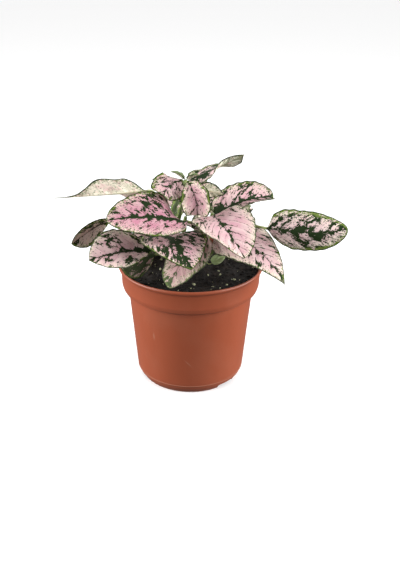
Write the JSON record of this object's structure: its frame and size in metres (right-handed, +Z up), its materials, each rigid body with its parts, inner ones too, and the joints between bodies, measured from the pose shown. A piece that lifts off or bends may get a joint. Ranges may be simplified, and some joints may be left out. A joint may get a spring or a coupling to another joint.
{
  "type": "potted polka dot plant",
  "caption": "Potted polka dot plant: waved pink leaves with green veins, spots and edges on short stems, in a round terracotta-coloured plastic nursery pot filled with soil.",
  "frame": {"origin": "on the pot's axis, in the plane that the pot stands on", "axes": "+Z up; +X to the right along the widest spread of the leaves; -Y is the front"},
  "size_m": [0.2106, 0.1145, 0.1694],
  "materials": {
    "terracotta_plastic": "satin terracotta-coloured plastic",
    "potting_soil": "dark loose peat mix with pale perlite",
    "green_stem": "matt green stem",
    "pink_leaf": "soft satin pink leaf with green veins, spots and edge"
  },
  "bodies": {
    "root": {"pot": "terracotta_plastic", "soil": "potting_soil", "stem_a": "green_stem", "stem_b": "green_stem", "stem_c": "green_stem", "stem_d": "green_stem", "stem_e": "green_stem", "leaf_crown_front": "pink_leaf", "leaf_crown_left": "pink_leaf", "leaf_crown_narrow": "pink_leaf", "leaf_crown_right": "pink_leaf", "leaf_crown_pale": "pink_leaf", "leaf_crown_back": "pink_leaf", "leaf_right_upper": "pink_leaf", "leaf_right_front": "pink_leaf", "leaf_right_small": "pink_leaf", "leaf_right_cream": "pink_leaf", "leaf_far_right": "pink_leaf", "leaf_right_lower": "pink_leaf", "leaf_front_low": "pink_leaf", "leaf_front_seedling": "pink_leaf", "leaf_left_big": "pink_leaf", "leaf_front_centre": "pink_leaf", "leaf_left_front": "pink_leaf", "leaf_left_rim": "pink_leaf", "leaf_far_left": "pink_leaf", "leaf_left_small": "pink_leaf", "leaf_back_left": "pink_leaf", "leaf_back_left_low": "pink_leaf", "leaf_back_low": "pink_leaf", "leaf_back_right": "pink_leaf", "leaf_back": "pink_leaf", "leaf_back_right_low": "pink_leaf"}
  },
  "joints": []
}
